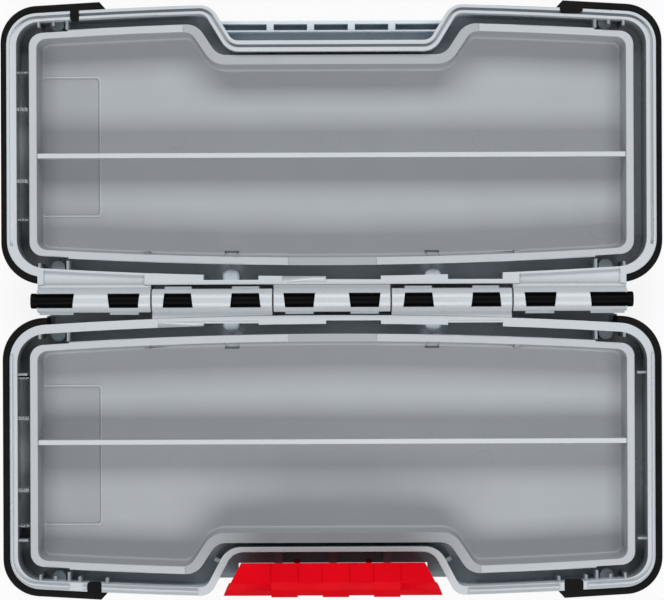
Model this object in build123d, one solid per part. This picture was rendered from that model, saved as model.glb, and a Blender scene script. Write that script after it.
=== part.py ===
"""Saw-blade accessory case, opened flat, in millimetres.

+X runs along the hinge, +Y towards the lid's front and +Z up. The origin is under the middle of the hinge, on
the surface that both halves lie on. Each half is drawn with its front at +Y, and the base is then mirrored.
"""

from build123d import *
from collections import namedtuple
import math
import os

os.makedirs("parts", exist_ok=True)

# Heights of one half
axis_z = 21.0
rim_top = 20.95
floor_t = 2.0
edge_r = 0.4
rim_head = 3.2
wall_foot_r = 5.0

# Plan of the rim: half lengths, front apex and bow of the long sides
bow_r = 1900.0
rim_inner_half = 126.0
rim_front = 118.9
rim_inner_front = 115.4
wall_t = 2.2
front_wall_inset = 1.4
hinge_wall_inset = 0.4
notch_wall_inset = 0.3
hinge_recess_x = (-40.4, 8.6, 57.4)
hinge_recess_half = 11.0
hinge_recess_depth = 1.4
front_corner_r = 12.6
hinge_corner_r = 14.6
inner_corner_r = 9.5
hinge_inner_v = 9.6

# Tongue on the base rim and groove in the lid rim
seal_half = 128.2
seal_front = 117.1
tongue_w = 0.8
tongue_h = 1.5
groove_w = 1.2
groove_depth = 1.9
seal_end_v = 22.0
seal_hinge_v = 8.0
tongue_end_x = 54.0

# Ribs in the channel round the tray: (x, reach from the wall, top)
post_rows = ((105.8, 3.6, 19.4), (111.4, 1.5, 18.0), (117.2, 2.0, 18.6))
post_short = 1.6
post_t = 1.0
front_rib_x = (90.6, 101.5)
front_rib = (2.0, 19.4)
rib_root = 0.6
end_gap = 0.4
shelf_z = 10.0
shelf_rib_half = 0.4
shelf_rib_top = 18.2
pad_half = 0.7
pad_top = 19.2
stub_half = 0.45
stub_reach = 3.8
stub_top = 19.0
boss_half = 3.4
boss_v = 13.2
boss_nose = 0.2
boss_top = 15.0
boss_r = 1.6
corner_boss_x = 110.4
corner_boss_r = 2.8
corner_boss_top = 12.0
rib_foot_z = 1.6
brace_at = (45.6, 105.0, 9.5)
brace_size = (4.4, 1.0, 17.0)
brace_turn = 32.0

# Hinge
tube_r = 4.7
knuckle_end_r = 0.35
bore_r = 2.68
pin_r = 2.6
pin_head_r = 3.05
pin_head_t = 2.4
pin_gap = 1.0
group_ends = (23.6, 72.15, 117.8)
group_gap = 0.25
centre_windows = ((6.7, 19.4),)
base_windows = ((28.4, 40.7), (55.5, 67.6))
outer_windows = ((76.7, 89.6),)
end_window = 102.8
window_half = 2.9
window_skew = 0.7
cradle_v = (3.4, 5.6)
cradle_drop = (0.8, 2.6)
pocket_rim = 0.9
pocket_edge_v = 6.3
shelf_edge_v = 6.4
shelf_depth = 4.5
pocket_depth = 1.5
pocket_x = (75.0, 115.4)
step_depth = 0.6
lid_step_x = (-20.0, -2.4)
base_step_x = (-69.7, -51.4)
lid_step_v = 7.1
base_step_v = 8.3
bay_pad = (107.6, 112.3, 1.8, 5.6, 5.0)
back_plate_edge = 1.0
back_plate_half = 112.6
back_plate_ear = (114.7, 6.4)
back_plate_end = 16.0
back_plate_r = 1.4
gusset_t = 1.8
gusset_centre = (-12.0, 0.0, 12.0)
gusset_base = (26.0, 48.0, 69.5)
gusset_outer = (74.5, 95.0, 111.0)
web_drop = 0.4

# Inlay tray
tray_half = 121.2
tray_inner_half = 118.1
tray_lip_w = 3.1
tray_top = 19.0
tray_lip_t = 1.2
tray_floor_z = 2.0
tray_floor_t = 1.3
tray_wall_t = 1.1
tray_draft = 2.5
tray_foot_r = 1.2
divider_t = 2.0
divider_r = 0.3
divider_top = 18.0
tray_corner_r = 5.5
tray_inner_r = 4.0
tray_corner_step = 0.5
tray_step_x = 105.6
tray_gap = 0.3
label_recess = (-117.0, -94.7, 35.2, 90.0)
label_depth = 0.6
label_corner_r = 1.2
label_slope = -35.0
lip_dip = (-17.6, 18.0, 0.6)
notch_dip_x = 59.4
bump_x = 74.2
bump_half = 0.9
bump_v = (-0.4, 1.4)
bump_drop = 2.0
outer_label = (150.0, 52.0, 6.0, 0.5)
outer_label_v = 57.4
snap_x = 40.6
snap_half = 2.9
snap_slot = 1.0
snap_slot_v = (-2.2, 2.4)
snap_end_v = (1.5, 2.6)

# Ledge across the lid's front notch, which the latch grips
ledge_skin = (3.0, 4.4)
ledge_top = 14.0
ledge_front = 113.2
ledge_bars = ((107.9, 108.7), (111.1, 112.5))
ledge_hook_v = 105.4
ledge_rib_x = (8.2, 24.5)
ledge_rib_w = 2.9
ledge_step = 5.0
ledge_chamfer = 0.45
ledge_edge_r = 0.25
notch_span = 47.0

# Latch and the rod that it turns on
sill_v = 106.8
sill_corner_v = 110.8
sill_corner_x = 38.6
sill_t = 2.6
latch_slit = 3.4
latch_skirt_half = 38.0
pivot_v = 108.4
pivot_z = 8.0
rod_r = 2.0
latch_bore_r = 2.07
latch_eye_r = 3.6
latch_eye_x = 14.5
latch_eye_w = 2.2
latch_arm = (1.8, 3.2, 0.4)
latch_top = 41.4
latch_flange_t = 2.2
latch_wall_t = 1.8
latch_inner_v = 103.3
latch_foot_v = 115.8
latch_facets = ((111.3, 0.0), (113.9, 0.8), (116.4, 3.4))
latch_inner_facet = ((113.17, 0.0), (114.6, 1.5))
latch_inner_half = 36.1
latch_outer_half = 43.2
latch_lip_h = 1.2
latch_lip_w = 1.6
latch_lip_back = (0.7, 0.8)
latch_skirt_deg = 15.0
grip_x = (-19.1, 1.1, 21.3)
grip_w = 10.4
grip_line = (0.4, 0.35)
grip_rise = 0.25
grip_facets = ((110.8, 0.0), (113.9, 0.7), (117.0, 3.3))
grip_foot = (116.45, 12.0)
grip_root = ((115.4, 11.2), (115.6, 36.4), (112.5, 40.2))
bracket_x = (0.0, 22.0)
bracket_w = 3.0
bracket_r = 3.3
bracket_root = 0.6

# Bumpers
bumper_foot_z = 1.2
bumper_top = 20.4
bumper_foot_r = 6.0
bumper_edge_r = 0.9
bumper_front_x = (92.8, 89.4)
bumper_end_drop = 3.7
bumper_tip_v = 119.7
bumper_corner_v = 117.4
bumper_front_r = 15.0
bumper_rear_v = 6.7
bumper_rear_r = 17.0
tab_corner_r = 1.3
tab_depth = 2.2

# What differs between the two halves. A notch is (flat's distance from the hinge axis, half length of the
# flat, slope in degrees, radius at the top of the slope, radius at its foot).
Half = namedtuple(
    "Half",
    "rim_half hinge_v notch_outer notch_inner seal_notch tray_front tray_rear divider_v tray_notch "
    "tray_notch_inner bumper_half bumper_rear_x tabs shelf_v pad_v stub_v",
)
LID = Half(
    rim_half=130.0,
    hinge_v=6.2,
    notch_outer=(104.0, 39.5, 58.7, 7.8, 4.0),
    notch_inner=(99.6, 41.4, 58.7, 4.0, 8.0),
    seal_notch=(101.8, 40.4, 58.7, 6.0, 6.0),
    tray_front=111.6,
    tray_rear=14.0,
    divider_v=58.2,
    tray_notch=(98.4, 45.7, 57.0, 8.0, 6.5),
    tray_notch_inner=(94.6, 47.4, 56.0, 5.0, 9.0),
    bumper_half=132.4,
    bumper_rear_x=118.0,
    tabs={-1: (100.8, 104.4, 111.8), 1: (91.6, 100.8, 114.6)},
    shelf_v=(32.6, 91.7),
    pad_v=(48.1, 76.9),
    stub_v=(),
)
BASE = Half(
    rim_half=129.1,
    hinge_v=6.0,
    notch_outer=(100.8, 40.0, 62.0, 6.0, 7.0),
    notch_inner=(98.8, 42.3, 62.0, 4.0, 9.0),
    seal_notch=None,
    tray_front=110.6,
    tray_rear=13.5,
    divider_v=56.8,
    tray_notch=(97.3, 46.6, 57.0, 8.0, 6.5),
    tray_notch_inner=(93.3, 48.4, 56.0, 5.0, 9.0),
    bumper_half=132.0,
    bumper_rear_x=114.2,
    tabs={-1: (92.6, 98.4, 112.4), 1: (92.6, 100.2, 112.1)},
    shelf_v=(30.9, 90.2),
    pad_v=(47.0, 75.8),
    stub_v=(29.4, 95.9),
)


def block(x0, x1, y0, y1, z0, z1):
    """A box between two corners."""
    size = (x1 - x0, y1 - y0, z1 - z0)
    return Pos((x0 + x1) / 2, (y0 + y1) / 2, (z0 + z1) / 2) * Box(*size)


def rod(x0, x1, r, v, z):
    """A round bar along X."""
    return Pos((x0 + x1) / 2, v, z) * Rot(0, 90, 0) * Cylinder(r, x1 - x0)


def bowed(apex, x):
    """Distance from the hinge axis of a long side that bows outwards at the front."""
    return apex - x * x / (2 * bow_r)


def long_arc(apex, x0, x1, away):
    """Arc of a bowed side from x0 to x1. away is 1 at the front and -1 at the hinge side."""
    def point(x):
        return (x, apex - away * x * x / (2 * bow_r))
    return ThreePointArc(point(x0), point((x0 + x1) / 2), point(x1))


def outline(half, front, hinge, notch, r_front, r_hinge):
    """Plan of one half at some inset: two straight ends, two long sides and the front notch."""
    flat_v, flat_x, slope, r_top, r_foot = notch
    top_x = flat_x
    for _ in range(6):
        top_x = flat_x + (bowed(front, top_x) - flat_v) / math.tan(math.radians(slope))
    side_v = bowed(front, half)
    hinge_end = hinge + half * half / (2 * bow_r)
    edges = []
    for side in (-1, 1):
        edges.append(Line((side * half, hinge_end), (side * half, side_v)))
        edges.append(long_arc(front, side * half, side * top_x, 1))
        edges.append(Line((side * top_x, bowed(front, top_x)), (side * flat_x, flat_v)))
    edges.append(Line((-flat_x, flat_v), (flat_x, flat_v)))
    edges.append(long_arc(hinge, -half, half, -1))
    face = make_face(edges).faces()[0]
    corners = ((half, side_v, r_front), (half, hinge_end, r_hinge),
               (top_x, bowed(front, top_x), r_top), (flat_x, flat_v, r_foot))
    for x, v, r in corners:
        face = face.fillet_2d(r, corners_at(face, x, v) + corners_at(face, -x, v))
    return face


def corners_at(face, x, v):
    """The corners of a plan at one point."""
    return [p for p in face.vertices() if abs(p.X - x) < 0.01 and abs(p.Y - v) < 0.01]


def ring(outer_args, inner_args, z0, z1):
    """A band between two outlines, from z0 to z1."""
    outer = extrude(outline(*outer_args), z1 - z0)
    inner = extrude(outline(*inner_args), z1 - z0)
    return Pos(0, 0, z0) * (outer - inner)


def soften(solid, edges, radii):
    """Rounds the edges, at the first radius in the list that the shape takes."""
    for r in radii:
        try:
            rounded = fillet(edges, r)
        except ValueError:
            continue
        if rounded.is_valid:
            return rounded
    return solid


def top_edges(solid):
    """The edges of the highest flat face."""
    return solid.faces().filter_by(Axis.Z).group_by(Axis.Z)[-1].edges()


def foot_edges(solid):
    """The edges of the lowest flat face."""
    return solid.faces().filter_by(Axis.Z).sort_by(Axis.Z)[0].edges()


def shell_body(h):
    """Wall, rim and floor of one half, with the rim's edges rounded."""
    solid = shell_block(h) - cavity(h)
    for side in (-1, 1):
        solid -= tab_slot(h, side)
    return soften(solid, top_edges(solid), (edge_r, edge_r * 0.75, edge_r / 2))


def shell_block(h):
    """One half as a full block: wall with a rounded foot, and the wider rim head on it."""
    inset = h.rim_half - rim_inner_half - wall_t
    flat_v, flat_x, slope, r_top, r_foot = h.notch_outer
    drop = notch_wall_inset
    wall_notch = (flat_v - drop, flat_x + drop, slope, r_top, r_foot)
    wall_face = outline(h.rim_half - inset, rim_front - front_wall_inset, h.hinge_v + hinge_wall_inset,
                        wall_notch, front_corner_r - inset, hinge_corner_r - inset)
    wall = extrude(wall_face, rim_top - rim_head)
    wall = fillet(foot_edges(wall), wall_foot_r)
    rim_face = outline(h.rim_half, rim_front, h.hinge_v, h.notch_outer, front_corner_r, hinge_corner_r)
    rim = Pos(0, 0, rim_top - rim_head) * extrude(rim_face, rim_head)
    return wall + rim


def cavity(h):
    """The room inside a half, over its floor, with three shallow stretches in its hinge wall."""
    face = outline(rim_inner_half, rim_inner_front, hinge_inner_v, h.notch_inner,
                   inner_corner_r, inner_corner_r + 2)
    room = Pos(0, 0, floor_t) * extrude(face, axis_z)
    for x in hinge_recess_x:
        room += block(x - hinge_recess_half, x + hinge_recess_half, hinge_inner_v - hinge_recess_depth,
                      hinge_inner_v + 2, floor_t, axis_z + floor_t)
    return room


def seal_band(width, z0, z1):
    """The path that the lid's groove and the base's tongue share, at a given width."""
    def at(grow):
        flat_v, flat_x, slope, r_top, r_foot = LID.seal_notch
        notch = (flat_v + grow, flat_x - 0.6 * grow, slope, r_top + grow, r_foot - grow)
        return (seal_half + grow, seal_front + grow, seal_hinge_v - grow, notch,
                front_corner_r - 1.8 + grow, hinge_corner_r - 1.8 + grow)
    band = ring(at(width / 2), at(-width / 2), z0, z1)
    return band & block(-140, 140, seal_end_v, 130, z0 - 1, z1 + 1)


def window(x0, x1):
    """Cutter for a window in a knuckle's top, wider on the side of its own wall."""
    face = make_face(Polyline((x0 + window_skew, -window_half), (x1 - window_skew, -window_half),
                              (x1, window_half), (x0, window_half), close=True))
    return Pos(0, 0, axis_z) * extrude(face, tube_r + 1)


def knuckle(x0, x1, windows, wall_v, gusset_x):
    """One group of hinge barrel on its web, with windows over the pin and a cradle lip beside each."""
    tube = rod(x0, x1, tube_r, 0, axis_z)
    tube = soften(tube, tube.edges().filter_by(GeomType.CIRCLE), (knuckle_end_r,))
    web = block(x0, x1, 0, wall_v + 2, axis_z - tube_r, rim_top - web_drop)
    solid = tube + web
    for a, b in windows:
        solid += block(a + window_skew, min(b, x1) - window_skew, -cradle_v[1], -cradle_v[0],
                       axis_z - cradle_drop[1], axis_z - cradle_drop[0])
    for x in gusset_x:
        solid += block(x - gusset_t / 2, x + gusset_t / 2, back_plate_edge + 0.6, wall_v + 1.5,
                       floor_t, axis_z - tube_r + 1)
    solid -= rod(x0 - 1, x1 + 1, bore_r, 0, axis_z)
    for a, b in windows:
        solid -= window(a, b)
    return solid


def both_sides(windows):
    """Window ranges on the right, then the same ones on the left."""
    return tuple(windows) + tuple((-b, -a) for a, b in windows)


def hinge_shelf():
    """Straight shelf behind the lid's bowed hinge wall, level with the rim."""
    strip = block(-group_ends[2], group_ends[2], shelf_edge_v, shelf_edge_v + shelf_depth,
                  rim_top - rim_head, rim_top)
    return strip - cavity(LID)


def lid_knuckles():
    """The centre group and the two outer groups."""
    inner, middle, outer = group_ends
    wall_v = shelf_edge_v
    parts = knuckle(group_gap - inner, inner - group_gap, both_sides(centre_windows), wall_v, gusset_centre)
    x0, x1 = middle + group_gap, outer
    side = knuckle(x0, x1, outer_windows + ((end_window, outer + 4),), wall_v, gusset_outer)
    return parts + side + mirror(side, about=Plane.YZ)


def base_knuckles():
    """The two groups between the lid's."""
    inner, middle, _ = group_ends
    side = knuckle(inner + group_gap, middle - group_gap, base_windows, BASE.hinge_v + 1.2, gusset_base)
    return side + mirror(side, about=Plane.YZ)


def back_plate():
    """Strip of the outer face that runs on under the knuckles to the hinge line."""
    ear_x, ear_v = back_plate_ear
    plate = block(-back_plate_half, back_plate_half, back_plate_edge, back_plate_end, 0, floor_t)
    plate += block(-ear_x, ear_x, back_plate_edge, ear_v, 0, floor_t)
    edge = plate.edges().filter_by(Axis.X).group_by(Axis.Z)[0].sort_by(Axis.Y)[0]
    return fillet(edge, back_plate_r)


def corner_posts(h):
    """Short ribs that brace the wall beside each corner and centre the tray."""
    posts = []
    half = post_t / 2
    for side in (-1, 1):
        for x, reach, top in post_rows:
            x = side * x
            front = bowed(rim_inner_front, x)
            rear = hinge_inner_v + x * x / (2 * bow_r)
            posts.append(block(x - half, x + half, front - reach, front + rib_root, rib_foot_z, top))
            if reach > post_short:
                posts.append(block(x - half, x + half, rear - rib_root, rear + reach, rib_foot_z, top))
        if h is BASE:
            reach, top = front_rib
            for x in front_rib_x:
                x = side * x
                front = bowed(rim_inner_front, x)
                posts.append(block(x - half, x + half, front - reach, front + rib_root, rib_foot_z, top))
    return posts


def end_ribs(h):
    """The left channel's raised shelf with its thin and tall ribs, and the base's stubs at both ends."""
    x0 = tray_half + end_gap
    x1 = rim_inner_half + rib_root
    ribs = [block(-x1, -x0, h.shelf_v[0], h.shelf_v[1], rib_foot_z, shelf_z)]
    for v in h.shelf_v:
        ribs.append(block(-x1, -x0, v - shelf_rib_half, v + shelf_rib_half, rib_foot_z, shelf_rib_top))
    for v in h.pad_v:
        ribs.append(block(-x1, -x0, v - pad_half, v + pad_half, rib_foot_z, pad_top))
    for v in h.stub_v:
        for side in (-1, 1):
            inner, outer = sorted((side * (rim_inner_half - stub_reach), side * x1))
            ribs.append(block(inner, outer, v - stub_half, v + stub_half, rib_foot_z, stub_top))
    return ribs


def bosses():
    """Round-nosed bosses on the hinge wall where the tray's hooks click in, and one in each corner."""
    found = []
    for side in (-1, 1):
        x = side * snap_x
        boss = block(x - boss_half, x + boss_half, hinge_inner_v - hinge_recess_depth - rib_root, boss_v,
                     rib_foot_z, boss_top)
        nose = boss.edges().filter_by(Axis.Z).group_by(Axis.Y)[-1]
        boss = fillet(nose, boss_half - boss_nose)
        front = top_edges(boss).filter_by(Axis.Y, reverse=True).group_by(Axis.Y)[-1]
        found.append(soften(boss, front, (boss_r, boss_r / 2)))
        x = side * corner_boss_x
        rear = hinge_inner_v + x * x / (2 * bow_r)
        for v in (rear + rib_root, bowed(rim_inner_front, x) - rib_root):
            height = corner_boss_top - rib_foot_z
            found.append(Pos(x, v, rib_foot_z + height / 2) * Cylinder(corner_boss_r, height))
    return found


def fittings(h, solid):
    """Adds what is moulded into both halves."""
    solid += back_plate()
    for piece in corner_posts(h) + end_ribs(h) + bosses():
        solid += piece
    return solid


def hinge_pocket(x0, x1):
    """Cutter for the lowered strip between the lid's hinge wall and an outer knuckle group."""
    apex = hinge_inner_v - pocket_rim
    face = make_face([
        long_arc(apex, x0, x1, -1),
        Line((x1, apex + x1 * x1 / (2 * bow_r)), (x1, pocket_edge_v)),
        Line((x1, pocket_edge_v), (x0, pocket_edge_v)),
        Line((x0, pocket_edge_v), (x0, apex + x0 * x0 / (2 * bow_r))),
    ])
    return Pos(0, 0, rim_top - pocket_depth) * extrude(face, 4)


def catch_ledge():
    """Bars and ribs across the lid's notch. The latch's lip hooks behind the skin's inner edge."""
    half = notch_span
    inner_v = LID.notch_inner[0]
    z0, z1 = ledge_skin
    ledge = block(-half, half, ledge_hook_v, ledge_front, z0, z1)
    ledge += block(-half, half, inner_v, ledge_bars[0][0], z1, ledge_step)
    for v0, v1 in ledge_bars:
        ledge += block(-half, half, v0, v1, z0, ledge_top)
    for side in (-1, 1):
        for x in ledge_rib_x:
            x = side * x
            ledge += block(x - ledge_rib_w / 2, x + ledge_rib_w / 2, ledge_bars[0][0], ledge_bars[1][1],
                           z0, ledge_top)
    ledge = soften(ledge, top_edges(ledge), (ledge_edge_r,))
    lower = ledge.edges().filter_by(Axis.X).group_by(Axis.Z)[0].sort_by(Axis.Y)[-1]
    return chamfer(lower, ledge_chamfer) - cavity(LID)


def rod_ledge():
    """Sill of the base's notch with the brackets and the rod that carry the latch."""
    half = notch_span
    inner_v = BASE.notch_inner[0]
    ledge = block(-half, half, inner_v, sill_v, 0, sill_t)
    for side in (-1, 1):
        x0, x1 = sorted((side * sill_corner_x, side * half))
        ledge += block(x0, x1, inner_v, sill_corner_v, 0, sill_t)
    for x in (-bracket_x[1], bracket_x[0], bracket_x[1]):
        x0, x1 = x - bracket_w / 2, x + bracket_w / 2
        root_v = inner_v + bracket_root
        ledge += block(x0, x1, root_v, sill_v, sill_t / 2, pivot_z)
        ledge += block(x0, x1, root_v, pivot_v, pivot_z - bracket_r, pivot_z + bracket_r)
        ledge += rod(x0, x1, bracket_r, pivot_v, pivot_z)
    ledge += rod(-bracket_x[1], bracket_x[1], rod_r, pivot_v, pivot_z)
    return ledge - cavity(BASE)


def channel_braces():
    """Two slanted ribs across the base's channel at the foot of the notch."""
    x, v, z = brace_at
    return [Pos(side * x, v, z) * Rot(0, 0, side * -brace_turn) * Box(*brace_size) for side in (-1, 1)]


def tab_slot(h, side, grow=0.0):
    """Room that a bumper's tab takes over the rim."""
    return tab_block(h, side, grow, 125, rim_top - tab_depth - grow, axis_z + 4)


def tab_gap(h, side, grow):
    """Square cutter that ends the tongue clear of a tab."""
    x0, x1, v = h.tabs[side]
    x0, x1 = sorted((side * x0, side * x1))
    return block(x0 - grow, x1 + grow, v - grow, 125, rim_top - tab_depth, axis_z + 4)


def tab_block(h, side, grow, v_end, z0, z1):
    """A tab's outline with round inner corners, from z0 to z1."""
    x0, x1, v = h.tabs[side]
    x0, x1 = sorted((side * x0, side * x1))
    solid = block(x0 - grow, x1 + grow, v - grow, v_end, z0, z1)
    return fillet(solid.edges().filter_by(Axis.Z).group_by(Axis.Y)[0], tab_corner_r + grow)


def label_plate():
    """Cutter for the bare label recess in the lid's outer face."""
    width, height, r, depth = outer_label
    face = RectangleRounded(width, height, r)
    return Pos(0, outer_label_v, 0) * extrude(face, depth)


def rim_step(span, v):
    """Cutter for a short lowered stretch at the inner side of a hinge rim."""
    return block(span[0], span[1], v, hinge_inner_v + 1.5, rim_top - step_depth, axis_z + 1)


def lid_shell():
    solid = fittings(LID, shell_body(LID))
    solid -= seal_band(groove_w, rim_top - groove_depth, axis_z)
    solid += hinge_shelf()
    solid -= label_plate()
    solid += lid_knuckles()
    for x0, x1 in both_sides((pocket_x,)):
        solid -= hinge_pocket(x0, x1)
    solid -= rim_step(lid_step_x, lid_step_v)
    return solid + catch_ledge()


def base_shell():
    solid = fittings(BASE, shell_body(BASE))
    tongue = seal_band(tongue_w, rim_top - 0.5, rim_top + tongue_h)
    tongue -= block(-tongue_end_x, tongue_end_x, 80, 130, 0, 30)
    for side in (-1, 1):
        tongue -= tab_gap(BASE, side, 0.1)
        tongue -= tab_gap(LID, side, 0.9)
    tongue = soften(tongue, top_edges(tongue), (tongue_w / 4,))
    solid += tongue
    solid += base_knuckles() + rod_ledge()
    solid -= rim_step(base_step_x, base_step_v)
    x0, x1, v0, v1, top = bay_pad
    solid += block(x0, x1, v0, v1, floor_t / 2, top)
    for rib in channel_braces():
        solid += rib - tray_room(BASE)
    return solid


def bumper_end_cut():
    """Cutter for the slanted front end of a bumper."""
    x_tip, x_end = bumper_front_x
    fall = bumper_end_drop / (x_tip - x_end)
    x_over, x_past = x_tip + 6, x_end - 4
    tip = (x_over, bumper_tip_v + 6 * fall)
    end = (x_past, bumper_tip_v - bumper_end_drop - 4 * fall)
    cut = Polyline(tip, end, (x_past, 60), (x_past - 30, 60), (x_past - 30, 140), (x_over, 140), close=True)
    return extrude(make_face(cut), 30)


def bumper(h, side, block_solid):
    """Soft guard round one end, with a thick slanted front end and a tab over the rim."""
    half = h.bumper_half
    x_tip, x_end = bumper_front_x
    x_in = x_end - 30
    rise = (bumper_tip_v - bumper_corner_v) / (half - x_tip)
    face = make_face(Polyline(
        (x_in, bumper_rear_v), (half, bumper_rear_v), (half, bumper_corner_v),
        (x_in, bumper_corner_v + rise * (half - x_in)), close=True)).faces()[0]
    for v, r in ((bumper_corner_v, bumper_front_r), (bumper_rear_v, bumper_rear_r)):
        face = face.fillet_2d(r, corners_at(face, half, v))
    solid = extrude(face, bumper_top)
    solid = fillet([e for e in foot_edges(solid) if e.center().X > x_in + 1], bumper_foot_r)
    solid = soften(solid, [e for e in top_edges(solid) if e.center().X > x_in + 1], (bumper_edge_r,))
    solid -= bumper_end_cut()
    solid -= block(0, 200, -10, 200, -5, bumper_foot_z)
    solid -= block(0, h.bumper_rear_x, -10, 60, -5, 30)
    if side < 0:
        solid = mirror(solid, about=Plane.YZ)
    solid -= block_solid
    solid = solid.solids().sort_by(SortBy.VOLUME)[-1]
    return solid + tab_block(h, side, 0, 117.5, rim_top - tab_depth, bumper_top)


def tray_outline(h, grow, drop=0.0):
    """Arguments for the tray's plan, grown from the edge of its lip, with both long sides drawn in by drop."""
    flat_v, flat_x, slope, r_top, r_foot = h.tray_notch
    notch = (flat_v + grow, flat_x - 0.6 * grow, slope, r_top + grow, r_foot - grow)
    return (tray_half + grow, h.tray_front + grow - drop, h.tray_rear - grow + drop, notch,
            tray_corner_r + grow, tray_corner_r + grow)


def tray_room(h):
    """The space kept clear round the tray."""
    return extrude(outline(*tray_outline(h, tray_gap)), 30)


def tray(h):
    """Inlay tray: lip, drafted wall, floor with a shallow label recess, and the divider."""
    depth = tray_top - tray_floor_z
    flat_v, flat_x, slope, r_top, r_foot = h.tray_notch_inner
    t = tray_wall_t
    outer_notch = (flat_v + t, flat_x - 0.6 * t, slope, r_top + t, r_foot - t)
    rear = h.tray_rear + tray_lip_w
    front = h.tray_front - tray_lip_w
    r = tray_inner_r
    inner = outline(tray_inner_half, front, rear, h.tray_notch_inner, r, r)
    outer = outline(tray_inner_half + t, front + t, rear - t, outer_notch, r + t, r + t)
    body = Pos(0, 0, tray_top) * extrude(outer, depth, dir=(0, 0, -1), taper=tray_draft)
    void = Pos(0, 0, tray_top) * extrude(inner, depth - tray_floor_t, dir=(0, 0, -1), taper=tray_draft)
    body = soften(body, foot_edges(body), (tray_foot_r + tray_wall_t, tray_foot_r))
    void = soften(void, foot_edges(void), (tray_foot_r, tray_foot_r / 2))
    solid = body + tray_lip(h) - void
    solid = soften(solid, top_edges(solid), (edge_r, edge_r / 2))
    solid = solid - label_recess_cut() - lip_dips(h) + (tray_divider(h) & body)
    for side in (-1, 1):
        solid -= snap_slots(h, side)
        x = side * bump_x
        rear_v = rear + x * x / (2 * bow_r)
        solid += block(x - bump_half, x + bump_half, rear_v + bump_v[0], rear_v + bump_v[1],
                       tray_floor_z + tray_floor_t / 2, tray_top - bump_drop)
    return solid


def tray_lip(h):
    """The tray's flat lip, a little narrower past the steps near its corners."""
    wide = extrude(outline(*tray_outline(h, 0.0)), tray_lip_t)
    lip = wide & block(-tray_step_x, tray_step_x, 0, 140, -1, 5)
    lip += extrude(outline(*tray_outline(h, 0.0, tray_corner_step)), tray_lip_t)
    return Pos(0, 0, tray_top - tray_lip_t) * lip


def label_recess_cut():
    """Cutter for the shallow label recess in the tray's floor."""
    x0, x1, v0, v1 = label_recess
    plate = RectangleRounded(x1 - x0, v1 - v0, label_corner_r)
    z = tray_floor_z + tray_floor_t - label_depth
    return Pos((x0 + x1) / 2, (v0 + v1) / 2, z) * extrude(plate, 1, taper=label_slope)


def lip_dips(h):
    """Cutters that lower the lip beside the hinge's middle and along the notch."""
    x0, x1, dip = lip_dip
    rear = block(x0, x1, 0, h.tray_rear + tray_lip_w + 0.3, tray_top - dip, tray_top + 1)
    front = block(-notch_dip_x, notch_dip_x, h.tray_notch_inner[0] - 0.5, 140, tray_top - dip, tray_top + 1)
    return rear + front


def tray_divider(h):
    """Upright rib along the tray, drawn past the tray's ends."""
    half = divider_t / 2
    rib = block(-tray_half, tray_half, h.divider_v - half, h.divider_v + half,
                tray_floor_z + tray_floor_t - label_depth - 0.1, divider_top)
    return soften(rib, rib.edges().filter_by(Axis.X).group_by(Axis.Z)[-1], (divider_r,))


def snap_slots(h, side):
    """Cutter for the slots that free a springy hook in the tray's hinge side wall."""
    x = side * snap_x
    rear_v = h.tray_rear + tray_lip_w + x * x / (2 * bow_r)
    outer, inner = snap_half, snap_half - snap_slot
    cut = block(x - outer, x + outer, rear_v + snap_end_v[0], rear_v + snap_end_v[1], -1, tray_top)
    for x0, x1 in ((x - outer, x - inner), (x + inner, x + outer)):
        cut += block(x0, x1, rear_v + snap_slot_v[0], rear_v + snap_slot_v[1], -1, tray_top - tray_lip_t)
    return cut


def along_x(face, x0, x1):
    """A profile drawn with its x as the distance from the hinge and its y as height, swept along X."""
    solid = extrude(face, x1 - x0)
    return Pos(x0, 0, 0) * Rot(0, 90, 0) * Rot(0, 0, 90) * solid


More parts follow.
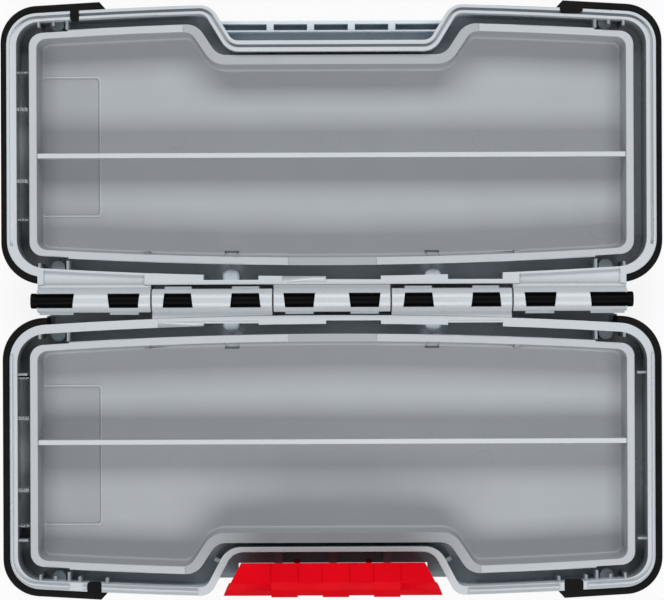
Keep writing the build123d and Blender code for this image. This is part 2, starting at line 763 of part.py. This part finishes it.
def latch():
    """Snap latch, standing upright as in the photo's pose and as when it holds the case shut."""
    span = 2 * latch_outer_half
    under = latch_top - latch_flange_t
    wall_v = latch_foot_v - latch_wall_t
    reach_out = latch_foot_v - pivot_v
    reach_in = wall_v - pivot_v
    end = math.radians(-latch_skirt_deg)
    mid = end / 2

    def at(r, angle):
        return (pivot_v + r * math.cos(angle), pivot_z + r * math.sin(angle))

    rise, back = latch_lip_back
    lip_v = latch_inner_v + latch_lip_w
    outside = [(v, latch_top - drop) for v, drop in latch_facets]
    inside = [(v, under - drop) for v, drop in latch_inner_facet]
    edges = [
        Polyline((latch_inner_v, latch_top), *outside, (latch_foot_v, pivot_z)),
        ThreePointArc(at(reach_out, 0), at(reach_out, mid), at(reach_out, end)),
        Line(at(reach_out, end), at(reach_in, end)),
        ThreePointArc(at(reach_in, end), at(reach_in, mid), at(reach_in, 0)),
        Polyline((wall_v, pivot_z), *reversed(inside), (lip_v, under), (lip_v, under - latch_lip_h),
                 (latch_inner_v + back, under - latch_lip_h), (latch_inner_v, under + rise),
                 (latch_inner_v, latch_top)),
    ]
    profile = make_face(edges).faces()[0]
    rounded = [(v, z, edge_r) for v, z in outside] + [(latch_inner_v, latch_top, edge_r)]
    for v, z, r in rounded:
        profile = profile.fillet_2d(r, corners_at(profile, v, z))
    solid = along_x(profile, -span / 2, span / 2)
    grip_top = latch_top + grip_rise
    facets = [(v, grip_top - drop) for v, drop in grip_facets]
    grip = make_face(Polyline((latch_inner_v, under + 1), (latch_inner_v, grip_top), *facets, grip_foot,
                              *grip_root, close=True))
    line_w, line_depth = grip_line
    for x in grip_x:
        solid += along_x(grip, x - grip_w / 2, x + grip_w / 2)
        for x0 in (x - grip_w / 2 - line_w, x + grip_w / 2):
            solid -= block(x0, x0 + line_w, latch_inner_v - 1, outside[0][0] - 1,
                           latch_top - line_depth, latch_top + 1)
    front_v = latch_facets[-1][0]
    slope = (latch_outer_half - latch_inner_half) / (front_v - latch_inner_v)
    far = latch_outer_half + slope * 4
    plan = make_face(Polyline((-latch_inner_half, latch_inner_v), (latch_inner_half, latch_inner_v),
                              (far, front_v + 4), (-far, front_v + 4), close=True))
    solid &= extrude(plan, latch_top + 1)
    for side in (-1, 1):
        x0, x1 = sorted((side * latch_skirt_half, side * 60))
        solid -= block(x0, x1, 90, 130, 0, pivot_z + 3)
    for side in (-1, 1):
        x = side * latch_eye_x
        x0, x1 = x - latch_eye_w / 2, x + latch_eye_w / 2
        arm = rod(x0, x1, latch_eye_r, pivot_v, pivot_z)
        arm += block(x0, x1, pivot_v, wall_v + latch_arm[2], pivot_z - latch_arm[0], pivot_z + latch_arm[1])
        arm -= rod(x0 - 1, x1 + 1, latch_bore_r, pivot_v, pivot_z)
        arm -= block(x0 - 1, x1 + 1, pivot_v - latch_slit / 2, pivot_v + latch_slit / 2, 0, pivot_z)
        solid += arm
    return solid


def hinge_pin(side):
    """Moulded pin with a round head at its outer end."""
    head_x = group_ends[2] + group_gap
    shaft = rod(pin_gap / 2, head_x + 0.1, pin_r, 0, axis_z)
    head = rod(head_x, head_x + pin_head_t, pin_head_r, 0, axis_z)
    head = fillet(head.edges().filter_by(GeomType.CIRCLE).sort_by(Axis.X)[-1], 0.5)
    pin = shaft + head
    return pin if side > 0 else mirror(pin, about=Plane.YZ)


def to_base(solid):
    """Turns a half drawn with its front at +Y round, so that its front is at -Y."""
    return mirror(solid, about=Plane.XZ)


def write(node, solid):
    export_step(solid, "parts/" + node + ".step")


lid_block = shell_block(LID)
base_block = shell_block(BASE)
write("lid_shell", lid_shell())
write("base_shell", to_base(base_shell()))
write("lid_tray", tray(LID))
write("base_tray", to_base(tray(BASE)))
for side, name in ((-1, "left"), (1, "right")):
    write("lid_bumper_" + name, bumper(LID, side, lid_block))
    write("base_bumper_" + name, to_base(bumper(BASE, side, base_block)))
    write("hinge_pin_" + name, hinge_pin(side))
write("latch", to_base(latch()))
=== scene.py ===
"""Accessory case, opened flat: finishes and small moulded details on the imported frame, and the studio."""

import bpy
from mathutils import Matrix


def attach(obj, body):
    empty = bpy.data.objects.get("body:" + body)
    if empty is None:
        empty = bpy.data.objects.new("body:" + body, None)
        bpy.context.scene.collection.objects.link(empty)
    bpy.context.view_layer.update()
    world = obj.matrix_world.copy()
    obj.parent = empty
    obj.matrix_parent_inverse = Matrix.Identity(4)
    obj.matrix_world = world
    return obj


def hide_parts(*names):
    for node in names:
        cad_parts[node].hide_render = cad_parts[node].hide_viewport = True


bl_info = {
    "name": "Accessory case",
    "version": (1, 0, 0),
    "blender": (4, 5, 0),
    "location": "3D View > Sidebar > Accessory case",
    "description": "Finishes and moulded details of an opened accessory case, and a plain studio",
    "category": "Object",
}

import math

import bmesh
import bpy
from bpy.props import FloatProperty, FloatVectorProperty, PointerProperty
from bpy.types import Operator, Panel, PropertyGroup
from mathutils import Vector

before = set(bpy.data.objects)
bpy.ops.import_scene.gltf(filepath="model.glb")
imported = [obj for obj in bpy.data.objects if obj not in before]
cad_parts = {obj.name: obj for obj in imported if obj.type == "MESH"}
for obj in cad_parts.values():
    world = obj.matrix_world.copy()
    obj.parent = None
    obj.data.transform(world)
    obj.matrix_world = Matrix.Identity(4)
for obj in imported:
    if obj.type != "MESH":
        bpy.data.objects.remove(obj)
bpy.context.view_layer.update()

HINGE_HEIGHT = 0.021

# The hollow of each shell in metres, whose faces get painted light and shade: half length, and how far its
# rear and front walls are from the hinge
HOLLOW_HALF = 0.1268
HOLLOW_REAR = 0.0081
HOLLOW_FRONT = 0.1162
HOLLOW_HEIGHTS = (0.001, 0.0175)
SIDE_BOW = 3.8

# Where painted shade darkens the shells' plastic: from the foot of a wall upwards, and towards the ends of
# the case
FOOT_SHADE_FADE = (0.003, 0.017)
END_SHADE_FADE = (0.108, 0.121)

# Front notch of each half: distance of its flat from the hinge, half length of the flat, slope of its ends
NOTCH = {"lid": (0.0996, 0.0414, 58.7), "base": (0.0988, 0.0423, 62.0)}
NOTCH_FRONT = 0.1136

# Tops of the shelf and of the ribs in the end channels, which get painted light: how far out and how high
# they lie
SHELF_X = (0.1205, 0.1268)
SHELF_HEIGHTS = (0.0095, 0.0194)

# Thin plates of painted shade just off the ground, beside the base's latch and beside its hinge: near and far
# end, back and front edge as measured from the middle and from the hinge, thickness. Then how far all of them
# lie off the ground, and the width of their bevel
SHADE_PLATES = {
    "NotchShadePlate": (0.0384, 0.0462, 0.1066, 0.1130, 0.0007),
    "HingeShadePlate": (0.1116, 0.1160, 0.0060, 0.0102, 0.0014),
}
SHADE_PLATE_LIFT = 0.0001
SHADE_PLATE_EDGE = 0.0002

# Inlay trays: top of the floor, how far the divider is from the hinge, and the edges of the label recess
TRAY_FLOOR = 0.0033
DIVIDER = {"lid": 0.0582, "base": 0.0568}
LABEL_X = (-0.1180, -0.0942)
LABEL_OUT = (0.0347, 0.0905)

# Where painted light and shade make the trays' plastic paler or darker: a painted highlight on the label's
# bead, painted light on the tops of the lip and of the divider (with its half width and its end), and painted
# shade in the label recess
LABEL_BEAD_HIGHLIGHT = 1.2
LIP_HIGHLIGHT_HEIGHTS = (0.0184, 0.0189)
DIVIDER_HIGHLIGHT_HEIGHTS = (0.0170, 0.0178)
DIVIDER_HALF = 0.0014
DIVIDER_END = 0.1178
RECESS_SHADE_HEIGHTS = (TRAY_FLOOR - 0.00025, TRAY_FLOOR - 0.0001)

# Round marks on the tray floors: how far along the case and how far from the hinge
GATE_MARKS = ((0.0, 0.0655), (-0.0630, 0.0655), (0.0610, 0.0655), (0.1092, 0.0278), (-0.1090, 0.0262))

# Studio: half size of the floor, share of the object's shadow that it keeps, and the two lamps
FLOOR_HALF = 4.0
SHADOW_SHARE = 0.12
LAMP_SIZE = (1.3, 0.48)
LAMP_OUT = 0.86
LAMP_HEIGHT = 1.0
WORLD_COLOUR = (0.9, 0.9, 0.9, 1)


def colour(name, about, value):
    return FloatVectorProperty(name=name, description=about, default=value, size=3, subtype="COLOR",
                               min=0, max=1)


def length(name, about, value):
    return FloatProperty(name=name, description=about, default=value, min=0, unit="LENGTH",
                         subtype="DISTANCE")


class CaseFinish(PropertyGroup):
    """Colours of the plastics, the shell's painted light and shade in its hollows and on its side shelves,
    and the size of its grain.
    """

    shell: colour("Shell", "Light grey satin plastic of both shells", (0.485, 0.52, 0.55))
    # Painted light and shade: the plastic in the channels is painted paler than the shell colour, and painted
    # darker towards the foot of a wall and the ends of the case
    channel: colour("Channel", "The same plastic deep in the channels round the trays", (0.60, 0.675, 0.735))
    # Painted shade: the plastic made darker where the latch shades it, also used on the thin plates beside
    # the latch and the hinge
    painted_shade_behind_latch: colour("Behind the latch", "The same plastic in the latch's own shade", (0.17, 0.225, 0.25))
    # Painted light on the shelf and the rib tops in the end channels
    painted_light_on_side_shelf: colour("Side shelf", "Paler shade of the shelf and the rib tops in the end channels",
                       (0.80, 0.85, 0.89))
    tray: colour("Tray", "Milky grey plastic of both inlay trays", (0.33, 0.352, 0.376))
    rubber: colour("Bumper", "Soft black plastic of the bumpers", (0.0062, 0.0062, 0.0065))
    pin: colour("Hinge pin", "Black plastic of the hinge pins", (0.0026, 0.0026, 0.0029))
    latch: colour("Latch", "Red plastic of the snap latch", (0.58, 0.0, 0.006))
    grain: length("Grain", "Size of the moulded grain on the shells", 0.0006)


class CaseStudio(PropertyGroup):
    """Camera distance and light levels."""

    distance: length("Camera distance", "From the hinge line up to the camera", 1.1)
    span: length("Frame width", "Width that the picture shows at the height of the rims", 0.2656)
    roll: FloatProperty(name="Camera roll", description="Turn of the picture", default=math.radians(0.22),
                        subtype="ANGLE")
    light: FloatProperty(name="Lamp power", description="Power of each soft lamp, in watts", default=12.6,
                         min=0)
    fill: FloatProperty(name="Fill", description="Strength of the even light from all around", default=0.29,
                        min=0)


class Nodes:
    """Short calls for building one material."""

    def __init__(self, name):
        self.material = bpy.data.materials.new(name)
        self.material.use_nodes = True
        self.tree = self.material.node_tree
        self.tree.nodes.clear()
        self.out = self.add("ShaderNodeOutputMaterial")
        self.shader = self.add("ShaderNodeBsdfPrincipled")
        self.link(self.shader.outputs["BSDF"], self.out.inputs["Surface"])
        self.coords = self.add("ShaderNodeTexCoord").outputs["Object"]

    def add(self, kind, **values):
        node = self.tree.nodes.new(kind)
        for key, value in values.items():
            setattr(node, key, value)
        return node

    def link(self, source, target):
        self.tree.links.new(source, target)

    def set(self, **values):
        for key, value in values.items():
            socket = self.shader.inputs[key.replace("_", " ")]
            socket.default_value = value

    def noise(self, scale, detail=2.0, stretch=(1, 1, 1), distortion=0.0):
        place = self.add("ShaderNodeMapping")
        place.inputs["Scale"].default_value = stretch
        self.link(self.coords, place.inputs["Vector"])
        node = self.add("ShaderNodeTexNoise")
        node.inputs["Scale"].default_value = scale
        node.inputs["Detail"].default_value = detail
        node.inputs["Distortion"].default_value = distortion
        self.link(place.outputs["Vector"], node.inputs["Vector"])
        return node.outputs["Fac"]

    def axis(self, letter):
        node = self.add("ShaderNodeSeparateXYZ")
        self.link(self.coords, node.inputs["Vector"])
        return node.outputs[letter]

    def ranged(self, value, low, high, from_low=0.3, from_high=0.7):
        node = self.add("ShaderNodeMapRange")
        ends = (("From Min", from_low), ("From Max", from_high), ("To Min", low), ("To Max", high))
        for key, number in ends:
            node.inputs[key].default_value = number
        self.link(value, node.inputs["Value"])
        return node.outputs["Result"]

    def maths(self, kind, a, b):
        node = self.add("ShaderNodeMath", operation=kind)
        for socket, value in zip(node.inputs, (a, b)):
            if isinstance(value, (int, float)):
                socket.default_value = value
            else:
                self.link(value, socket)
        return node.outputs[0]

    def shade(self, base, factor):
        """The colour base, times a factor that varies over the surface."""
        node = self.add("ShaderNodeVectorMath", operation="SCALE")
        node.inputs[0].default_value = base
        self.link(factor, node.inputs["Scale"])
        self.link(node.outputs["Vector"], self.shader.inputs["Base Color"])

    def bump(self, height, distance):
        node = self.add("ShaderNodeBump")
        node.inputs["Strength"].default_value = 1.0
        node.inputs["Distance"].default_value = distance
        self.link(height, node.inputs["Height"])
        self.link(node.outputs["Normal"], self.shader.inputs["Normal"])


def shell_plastic(finish, name, base, foot_painted_shade=1.0, end_painted_shade=1.0):
    """Satin grey plastic with a fine grain, and painted shade that darkens it at the foot of a wall and at
    the case's ends.
    """
    n = Nodes(name)
    cloud = n.ranged(n.noise(14.0, 3.0), 0.97, 1.03)
    fleck = n.ranged(n.noise(1 / finish.grain, 2.0), 0.98, 1.02)
    # Painted shade: darker towards the foot of a wall and towards the ends of the case
    depth = n.ranged(n.axis("Z"), foot_painted_shade, 1.0, *FOOT_SHADE_FADE)
    ends = n.ranged(n.maths("ABSOLUTE", n.axis("X"), 0.0), 1.0, end_painted_shade, *END_SHADE_FADE)
    n.shade(base, n.maths("MULTIPLY", n.maths("MULTIPLY", cloud, fleck), n.maths("MULTIPLY", depth, ends)))
    n.link(n.ranged(n.noise(60.0, 4.0), 0.26, 0.34), n.shader.inputs["Roughness"])
    n.bump(n.noise(0.8 / finish.grain, 3.0), 0.000015)
    n.set(IOR=1.5)
    return n.material


def tray_plastic(finish, half, highlight_level=1.0):
    """Milky plastic, with painted light on the lip and the divider's top edge and painted shade in the label
    recess. level makes all of it paler or darker, for the painted highlight on the label's bead.
    """
    n = Nodes("milky plastic of the " + half)
    bands = n.ranged(n.noise(6.0, 1.5, (0.35, 2.4, 1.0), 0.4), 0.93, 1.07)
    cloud = n.ranged(n.noise(45.0, 3.0), 0.985, 1.015)
    # Painted light on the lip and on the divider's top edge
    lip = n.ranged(n.axis("Z"), 1.0, 1.3, *LIP_HIGHLIGHT_HEIGHTS)
    off_divider = n.maths("SUBTRACT", n.maths("ABSOLUTE", n.axis("Y"), 0.0), DIVIDER[half])
    near_divider = n.maths("LESS_THAN", n.maths("ABSOLUTE", off_divider, 0.0), DIVIDER_HALF)
    inside = n.maths("LESS_THAN", n.maths("ABSOLUTE", n.axis("X"), 0.0), DIVIDER_END)
    high = n.maths("MULTIPLY", near_divider, n.ranged(n.axis("Z"), 0.0, 0.5, *DIVIDER_HIGHLIGHT_HEIGHTS))
    pale = n.maths("ADD", lip, n.maths("MULTIPLY", inside, high))
    # Painted shade in the label recess
    recess = n.ranged(n.axis("Z"), 0.88, 1.0, *RECESS_SHADE_HEIGHTS)
    pale = n.maths("MULTIPLY", pale, n.maths("MULTIPLY", recess, highlight_level))
    n.shade(finish.tray, n.maths("MULTIPLY", n.maths("MULTIPLY", bands, cloud), pale))
    n.link(n.ranged(n.noise(120.0, 3.0), 0.40, 0.50), n.shader.inputs["Roughness"])
    n.bump(n.noise(900.0, 2.0), 0.00002)
    n.set(IOR=1.49)
    return n.material


def bumper_rubber(finish):
    """Soft black plastic with a matt grain."""
    n = Nodes("soft black plastic")
    n.shade(finish.rubber, n.ranged(n.noise(80.0, 3.0), 0.8, 1.25))
    n.link(n.ranged(n.noise(200.0, 3.0), 0.52, 0.66), n.shader.inputs["Roughness"])
    n.bump(n.noise(1600.0, 3.0), 0.00006)
    n.set(Specular_IOR_Level=0.06)
    return n.material


def pin_plastic(finish):
    """Black plastic, drawn out along the pin."""
    n = Nodes("black pin plastic")
    n.shade(finish.pin, n.ranged(n.noise(90.0, 2.0, (0.2, 1.0, 1.0)), 0.8, 1.3))
    n.link(n.ranged(n.noise(240.0, 2.0, (0.2, 1.0, 1.0)), 0.36, 0.48), n.shader.inputs["Roughness"])
    n.bump(n.noise(1200.0, 2.0, (0.3, 1.0, 1.0)), 0.00002)
    n.set(Specular_IOR_Level=0.03)
    return n.material


def latch_plastic(finish):
    """Red plastic with a faint cloud in its colour."""
    n = Nodes("red latch plastic")
    n.shade(finish.latch, n.ranged(n.noise(70.0, 3.0), 0.94, 1.06))
    n.link(n.ranged(n.noise(180.0, 3.0), 0.42, 0.52), n.shader.inputs["Roughness"])
    n.bump(n.noise(1500.0, 2.0), 0.00002)
    n.set(Specular_IOR_Level=0.04)
    return n.material


def finish_piece(bm, name, body, materials, replaces=(), crease=20.0):
    """Makes the piece that a bmesh holds, shades it smooth between its creases and puts it on its body."""
    if not bm.faces:
        raise RuntimeError(name + " has no faces")
    limit = math.radians(crease)
    for face in bm.faces:
        face.smooth = any(edge.calc_face_angle(math.pi) < limit for edge in face.edges)
    mesh = bpy.data.meshes.new(name)
    bm.to_mesh(mesh)
    bm.free()
    mesh.set_sharp_from_angle(angle=limit)
    piece = bpy.data.objects.new(name, mesh)
    bpy.context.scene.collection.objects.link(piece)
    for material in materials:
        mesh.materials.append(material)
    weighted = piece.modifiers.new("flat faces stay flat", "WEIGHTED_NORMAL")
    weighted.keep_sharp = True
    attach(piece, body)
    if replaces:
        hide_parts(*replaces)


def merged(node):
    """A CAD node's surface with its loose triangles joined and its flat faces whole."""
    bm = bmesh.new()
    bm.from_mesh(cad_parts[node].data)
    bmesh.ops.remove_doubles(bm, verts=bm.verts, dist=1e-6)
    bmesh.ops.dissolve_limit(bm, angle_limit=math.radians(0.2), verts=bm.verts, edges=bm.edges)
    for face in bm.faces:
        face.material_index = 0
    return bm


def dress(node, body, material, name):
    """Puts a finished copy of a CAD node in its place."""
    finish_piece(merged(node), name, body, (material,), (node,))


def in_painted_shade(point, normal, half):
    """Whether a shell's face lies in the hollow round its tray, or low on the ledge across its notch: faces
    there get painted light and shade.
    """
    low, high = HOLLOW_HEIGHTS
    if not low < point.z < high or normal.z < -0.3:
        return False
    if in_notch(point, half):
        return abs(point.y) < NOTCH_FRONT
    bow = point.x ** 2 / SIDE_BOW
    return abs(point.x) < HOLLOW_HALF and HOLLOW_REAR + bow < abs(point.y) < HOLLOW_FRONT - bow


def on_side_shelf(point, normal):
    """Whether a shell's face is the top of the shelf or of a rib in the end channels, where the plastic gets
    painted light.
    """
    near, far = SHELF_X
    low, high = SHELF_HEIGHTS
    return normal.z > 0.8 and near < abs(point.x) < far and low < point.z < high


def in_notch(point, half):
    """Whether a point lies in front of the wall of the notch."""
    flat, flat_half, slope = NOTCH[half]
    run = (abs(point.y) - flat) / math.tan(math.radians(slope))
    return run > 0 and abs(point.x) < flat_half + run


def shade_plate(side, near, far, back, front, thick):
    """Thin plate of painted shade just off the ground, from near to far of the middle and from back to front.
    """
    bm = bmesh.new()
    bmesh.ops.create_cube(bm, size=1.0)
    x0, x1 = sorted((side * near, side * far))
    y0, y1 = -front, -back
    bmesh.ops.scale(bm, vec=(x1 - x0, y1 - y0, thick), verts=bm.verts)
    bmesh.ops.translate(bm, vec=((x0 + x1) / 2, (y0 + y1) / 2, thick / 2 + SHADE_PLATE_LIFT), verts=bm.verts)
    bmesh.ops.bevel(bm, geom=bm.edges[:], offset=SHADE_PLATE_EDGE, segments=2, profile=0.5, affect="EDGES",
                    material=-1)
    return bm


class CASE_OT_shells(Operator):
    """Gives both shells their satin grey plastic with painted light and shade, and the base thin plates of
    painted shade beside its latch and hinge
    """

    bl_idname = "case.shells"
    bl_label = "Shells"

    def execute(self, context):
        finish = context.scene.case_finish
        plain = shell_plastic(finish, "satin grey plastic", finish.shell)
        # Copy of the plastic with painted light and shade in the channels
        painted_channel = shell_plastic(finish, "satin grey plastic in the channels", finish.channel, 0.95, 0.42)
        # Copy of the plastic with painted shade behind the latch, also used on the thin plates
        latch_painted_shade = shell_plastic(finish, "satin grey plastic behind the latch", finish.painted_shade_behind_latch)
        # Copy of the plastic with painted light on the side shelf's tops
        shelf = shell_plastic(finish, "satin grey plastic of the side shelf", finish.painted_light_on_side_shelf)
        materials = (plain, painted_channel, latch_painted_shade, shelf)
        for half in ("lid", "base"):
            node = half + "_shell"
            bm = merged(node)
            for face in bm.faces:
                centre = face.calc_center_median()
                # Faces get the plastic with painted light on the side shelf, painted shade behind the latch,
                # or painted light and shade in the channels
                if on_side_shelf(centre, face.normal):
                    face.material_index = 3
                elif in_painted_shade(centre, face.normal, half):
                    face.material_index = 2 if half == "base" and in_notch(centre, half) else 1
            finish_piece(bm, half.capitalize() + "Shell", half, materials, (node,))
        for side, name in ((-1, "Left"), (1, "Right")):
            # Thin plates of painted shade beside the base's latch and hinge
            for place, size in SHADE_PLATES.items():
                finish_piece(shade_plate(side, *size), "Base" + place + name, "base", (latch_painted_shade,))
        return {"FINISHED"}


def label_bead(side):
    """Low rounded bead round the label recess. Its left end runs into the tray's wall."""
    width, height, sink, corner = 0.0008, 0.00045, 0.0001, 0.0015
    bm = bmesh.new()
    bmesh.ops.create_grid(bm, x_segments=1, y_segments=1, size=0.5)
    x0, x1 = LABEL_X
    y0, y1 = sorted((side * LABEL_OUT[0], side * LABEL_OUT[1]))
    bmesh.ops.scale(bm, vec=(x1 - x0 + 2 * width, y1 - y0 + 2 * width, 1), verts=bm.verts)
    bmesh.ops.bevel(bm, geom=bm.verts[:], offset=corner, segments=5, profile=0.5, affect="VERTICES",
                    material=-1)
    bmesh.ops.inset_region(bm, faces=bm.faces[:], thickness=width, use_boundary=True,
                           use_even_offset=True)
    inner = max(bm.faces, key=lambda face: len(face.verts))
    bmesh.ops.delete(bm, geom=[inner], context="FACES_ONLY")
    raised = bmesh.ops.extrude_face_region(bm, geom=bm.faces[:])["geom"]
    top = [item for item in raised if isinstance(item, bmesh.types.BMVert)]
    bmesh.ops.translate(bm, vec=(0, 0, height), verts=top)
    ends = set(top)
    edges = [edge for edge in bm.edges if set(edge.verts) <= ends and len(edge.link_faces) == 2
             and edge.calc_face_angle(0) > 1]
    bmesh.ops.bevel(bm, geom=edges, offset=width / 3, segments=2, profile=0.5, affect="EDGES", material=-1)
    bmesh.ops.translate(bm, vec=((x0 + x1) / 2, (y0 + y1) / 2, TRAY_FLOOR - sink), verts=bm.verts)
    bmesh.ops.recalc_face_normals(bm, faces=bm.faces)
    return bm


def gate_marks(side):
    """Faint round marks that the mould leaves on the tray's floor: a flat disc with a thin raised edge."""
    radius, edge, height = 0.0040, 0.0003, 0.00008
    bm = bmesh.new()
    for x, out in GATE_MARKS:
        made = bmesh.ops.create_cone(bm, cap_ends=True, segments=48, radius1=radius, radius2=radius - edge,
                                     depth=2 * height)
        bmesh.ops.translate(bm, vec=(x, side * out, TRAY_FLOOR), verts=made["verts"])
        caps = [face for face in bm.faces if len(face.verts) > 4 and face.normal.z > 0.5
                and (face.calc_center_median() - Vector((x, side * out, TRAY_FLOOR))).length < 0.001]
        bmesh.ops.inset_region(bm, faces=caps, thickness=edge, depth=-height * 0.8)
    return bm


class CASE_OT_trays(Operator):
    """Gives both inlay trays their milky plastic with painted light and shade, a bead round the label recess
    with a painted highlight, and faint mould marks
    """

    bl_idname = "case.trays"
    bl_label = "Trays"

    def execute(self, context):
        for half, side in (("lid", 1), ("base", -1)):
            material = tray_plastic(context.scene.case_finish, half)
            name = half.capitalize() + "Tray"
            dress(half + "_tray", half, material, name)
            # The label's bead gets the same plastic made paler: a painted highlight
            edge = tray_plastic(context.scene.case_finish, half, LABEL_BEAD_HIGHLIGHT)
            finish_piece(label_bead(side), name + "LabelEdge", half, (edge,))
            finish_piece(gate_marks(side), name + "GateMarks", half, (material,))
        return {"FINISHED"}


class CASE_OT_bumpers(Operator):
    """Gives the four bumpers their soft black plastic"""

    bl_idname = "case.bumpers"
    bl_label = "Bumpers"

    def execute(self, context):
        material = bumper_rubber(context.scene.case_finish)
        for half in ("lid", "base"):
            for side in ("left", "right"):
                name = half.capitalize() + "Bumper" + side.capitalize()
                dress(half + "_bumper_" + side, half, material, name)
        return {"FINISHED"}


class CASE_OT_pins(Operator):
    """Gives both hinge pins their black plastic"""

    bl_idname = "case.pins"
    bl_label = "Hinge pins"

    def execute(self, context):
        material = pin_plastic(context.scene.case_finish)
        for side in ("left", "right"):
            dress("hinge_pin_" + side, "base", material, "HingePin" + side.capitalize())
        return {"FINISHED"}


class CASE_OT_latch(Operator):
    """Gives the snap latch its red plastic"""

    bl_idname = "case.latch"
    bl_label = "Latch"

    def execute(self, context):
        dress("latch", "latch", latch_plastic(context.scene.case_finish), "Latch")
        return {"FINISHED"}


def backdrop(name, shadow_share):
    """White where the camera and reflections see it, and a plain pale floor for everything else."""
    n = Nodes(name)
    n.set(Base_Color=(0.8, 0.8, 0.8, 1.0), Roughness=0.9)
    path = n.add("ShaderNodeLightPath")
    seen = path.outputs["Is Camera Ray"]
    for ray in ("Is Glossy Ray", "Is Transmission Ray"):
        seen = n.maths("MAXIMUM", seen, path.outputs[ray])
    glow = n.add("ShaderNodeEmission")
    glow.inputs["Strength"].default_value = 1.0
    mix = n.add("ShaderNodeMixShader")
    n.link(n.maths("MULTIPLY", seen, 1 - shadow_share), mix.inputs["Fac"])
    n.link(n.shader.outputs["BSDF"], mix.inputs[1])
    n.link(glow.outputs["Emission"], mix.inputs[2])
    n.link(mix.outputs["Shader"], n.out.inputs["Surface"])
    return n.material


def soft_lamp(name, size, place, power):
    """A long soft lamp that points at the middle of the hinge."""
    data = bpy.data.lights.new(name, "AREA")
    data.shape = "RECTANGLE"
    data.size, data.size_y = size
    data.energy = power
    lamp = bpy.data.objects.new(name, data)
    bpy.context.scene.collection.objects.link(lamp)
    lamp.location = place
    aim = Vector((0, 0, 0)) - Vector(place)
    lamp.rotation_euler = aim.to_track_quat("-Z", "Y").to_euler()


class CASE_OT_stage(Operator):
    """Sets up the floor, the soft lamps and the camera over the case"""

    bl_idname = "case.stage"
    bl_label = "Studio"

    def execute(self, context):
        studio = context.scene.case_studio
        bm = bmesh.new()
        bmesh.ops.create_grid(bm, x_segments=1, y_segments=1, size=FLOOR_HALF)
        mesh = bpy.data.meshes.new("Floor")
        bm.to_mesh(mesh)
        bm.free()
        mesh.materials.append(backdrop("pale floor", SHADOW_SHARE))
        floor = bpy.data.objects.new("Floor", mesh)
        context.scene.collection.objects.link(floor)

        soft_lamp("Lamp far", LAMP_SIZE, (0, LAMP_OUT, LAMP_HEIGHT), studio.light)
        soft_lamp("Lamp near", LAMP_SIZE, (0, -LAMP_OUT, LAMP_HEIGHT), studio.light)
        world = bpy.data.worlds.new("Studio")
        world.use_nodes = True
        world.node_tree.nodes["Background"].inputs["Color"].default_value = WORLD_COLOUR
        world.node_tree.nodes["Background"].inputs["Strength"].default_value = studio.fill
        context.scene.world = world

        data = bpy.data.cameras.new("Camera")
        data.sensor_width = 36.0
        data.lens = data.sensor_width * studio.distance / studio.span
        data.clip_end = 20.0
        camera = bpy.data.objects.new("Camera", data)
        context.scene.collection.objects.link(camera)
        camera.location = (0, 0, HINGE_HEIGHT + studio.distance)
        camera.rotation_euler = (0, 0, -studio.roll)
        context.scene.camera = camera
        context.scene.view_settings.view_transform = "Standard"
        return {"FINISHED"}


OPERATORS = (
    CASE_OT_shells,
    CASE_OT_trays,
    CASE_OT_bumpers,
    CASE_OT_pins,
    CASE_OT_latch,
    CASE_OT_stage,
)


class CASE_PT_panel(Panel):
    bl_idname = "CASE_PT_panel"
    bl_label = "Accessory case"
    bl_space_type = "VIEW_3D"
    bl_region_type = "UI"
    bl_category = "Accessory case"

    def draw(self, context):
        for group in (context.scene.case_finish, context.scene.case_studio):
            column = self.layout.column()
            for name in group.__annotations__:
                column.prop(group, name)
        for operator in OPERATORS:
            self.layout.operator(operator.bl_idname)


CLASSES = (CaseFinish, CaseStudio) + OPERATORS + (CASE_PT_panel,)


def register():
    for cls in CLASSES:
        bpy.utils.register_class(cls)
    bpy.types.Scene.case_finish = PointerProperty(type=CaseFinish)
    bpy.types.Scene.case_studio = PointerProperty(type=CaseStudio)


def unregister():
    del bpy.types.Scene.case_studio
    del bpy.types.Scene.case_finish
    for cls in reversed(CLASSES):
        bpy.utils.unregister_class(cls)


def main():
    register()
    for operator in (bpy.ops.case.shells, bpy.ops.case.trays, bpy.ops.case.bumpers, bpy.ops.case.pins,
                     bpy.ops.case.latch, bpy.ops.case.stage):
        operator()


if __name__ == "__main__":
    main()
